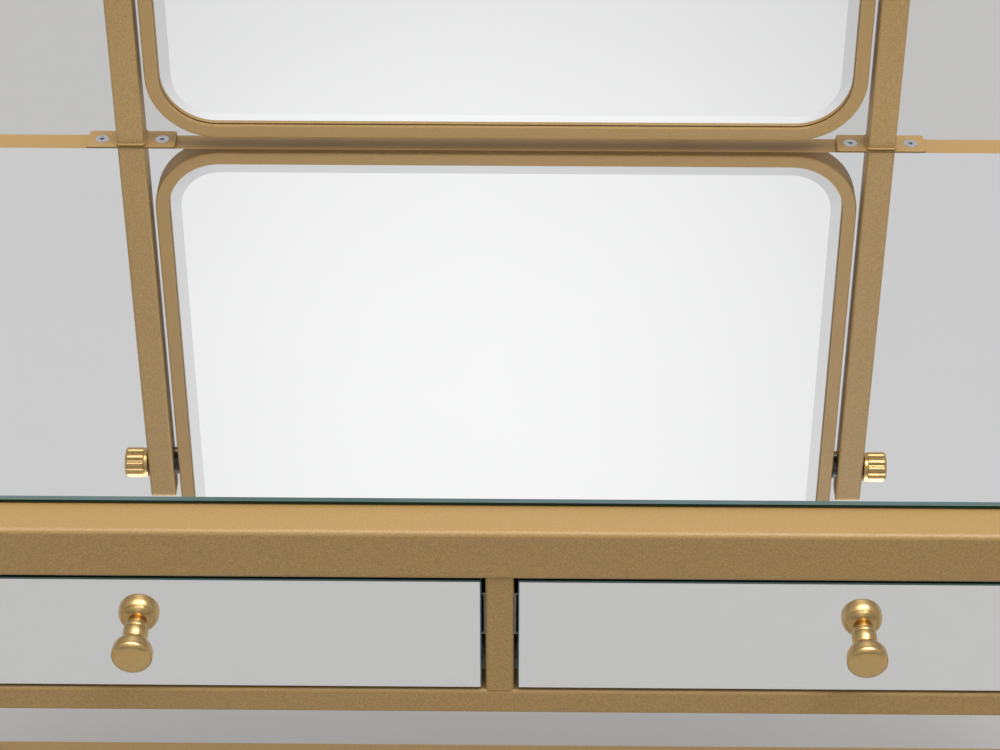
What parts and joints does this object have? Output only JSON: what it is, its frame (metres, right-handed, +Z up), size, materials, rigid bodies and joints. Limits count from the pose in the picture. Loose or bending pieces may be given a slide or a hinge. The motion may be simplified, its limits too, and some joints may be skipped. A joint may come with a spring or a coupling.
{
  "type": "vanity table with mirror",
  "caption": "Slim vanity table with a mirror-glass top in a gold tube frame, inset mirrored drawers and a tilting rounded dressing mirror on posts.",
  "frame": {"origin": "middle of the footprint on the floor; with the knobs, the front reaches as far from it as the rear does", "axes": "+X to the right of the person seated at the table, +Y to the rear where the mirror stands, +Z up"},
  "size_m": [1.0066, 0.474, 1.365],
  "materials": {
    "gold_powder_coat": "satin gold metallic powder coat",
    "gold_plating": "satin gold plating",
    "zinc_steel": "bright zinc plate",
    "slide_steel": "zinc-plated rolled steel",
    "black_nylon": "moulded black nylon",
    "clear_silicone": "clear silicone",
    "mirror_silver": "silvered float glass with a ground and polished edge",
    "white_lacquer": "fibreboard in white satin lacquer",
    "hardboard": "bare hardboard",
    "raw_board": "bare fibreboard"
  },
  "bodies": {
    "table": {"apron_mullion": "gold_powder_coat", "apron_rail_front": "gold_powder_coat", "apron_rail_rear": "gold_powder_coat", "case_back": "white_lacquer", "case_bottom": "white_lacquer", "case_divider": "white_lacquer", "case_screws": "zinc_steel", "case_side_left": "white_lacquer", "case_side_right": "white_lacquer", "foot_glides": "black_nylon", "friction_washers": "black_nylon", "glass_pads": "clear_silicone", "left_slide_outer": "slide_steel", "leg_front_left": "gold_powder_coat", "leg_front_right": "gold_powder_coat", "leg_lock_screws": "zinc_steel", "leg_rear_left": "gold_powder_coat", "leg_rear_right": "gold_powder_coat", "leg_spigots": "zinc_steel", "mirror_post_left": "gold_powder_coat", "mirror_post_right": "gold_powder_coat", "mirror_top": "mirror_silver", "post_caps": "gold_plating", "post_screws": "zinc_steel", "rail_bolts": "zinc_steel", "rail_end_plugs": "zinc_steel", "rear_stretcher": "gold_powder_coat", "right_slide_outer": "slide_steel", "side_stretcher_left": "gold_powder_coat", "side_stretcher_right": "gold_powder_coat", "sub_top_board": "white_lacquer", "top_rail_front": "gold_powder_coat", "top_rail_left": "gold_powder_coat", "top_rail_rear": "gold_powder_coat", "top_rail_right": "gold_powder_coat"},
    "left_drawer": {"left_drawer_back": "white_lacquer", "left_drawer_bottom": "hardboard", "left_drawer_front": "white_lacquer", "left_drawer_front_mirror": "mirror_silver", "left_drawer_knob": "gold_plating", "left_drawer_screws": "zinc_steel", "left_drawer_sides": "white_lacquer", "left_slide_inner": "slide_steel"},
    "right_drawer": {"right_drawer_back": "white_lacquer", "right_drawer_bottom": "hardboard", "right_drawer_front": "white_lacquer", "right_drawer_front_mirror": "mirror_silver", "right_drawer_knob": "gold_plating", "right_drawer_screws": "zinc_steel", "right_drawer_sides": "white_lacquer", "right_slide_inner": "slide_steel"},
    "left_slide_middles": {"left_slide_middle": "slide_steel"},
    "right_slide_middles": {"right_slide_middle": "slide_steel"},
    "dressing_mirror": {"mirror_frame": "gold_powder_coat", "mirror_glass": "mirror_silver", "mirror_backing": "raw_board", "mirror_clips": "zinc_steel", "clip_screws": "zinc_steel"},
    "left_tilt_knob": {"tilt_knob_left": "gold_plating"},
    "right_tilt_knob": {"tilt_knob_right": "gold_plating"}
  },
  "joints": [
    {"name": "left_drawer_slide", "type": "slide", "parent": "table", "child": "left_drawer", "axis": [0, -1, 0], "range_m": [0, 0.34]},
    {"name": "left_middle_slide", "type": "slide", "parent": "table", "child": "left_slide_middles", "axis": [0, -1, 0], "range_m": [0, 0.17]},
    {"name": "right_drawer_slide", "type": "slide", "parent": "table", "child": "right_drawer", "axis": [0, -1, 0], "range_m": [0, 0.34]},
    {"name": "right_middle_slide", "type": "slide", "parent": "table", "child": "right_slide_middles", "axis": [0, -1, 0], "range_m": [0, 0.17]},
    {"name": "mirror_tilt", "type": "hinge", "parent": "table", "child": "dressing_mirror", "pos_m": [0, 0.223, 1.065], "axis": [1, 0, 0], "range_deg": [-20, 20]},
    {"name": "left_knob_turn", "type": "hinge", "parent": "table", "child": "left_tilt_knob", "pos_m": [-0.285, 0.223, 1.065], "axis": [-1, 0, 0], "range_deg": [0, 360]},
    {"name": "right_knob_turn", "type": "hinge", "parent": "table", "child": "right_tilt_knob", "pos_m": [0.285, 0.223, 1.065], "axis": [1, 0, 0], "range_deg": [0, 360]}
  ],
  "couplings": [
    {"joint": "left_middle_slide", "follows": "left_drawer_slide", "ratio": 0.5},
    {"joint": "right_middle_slide", "follows": "right_drawer_slide", "ratio": 0.5}
  ]
}
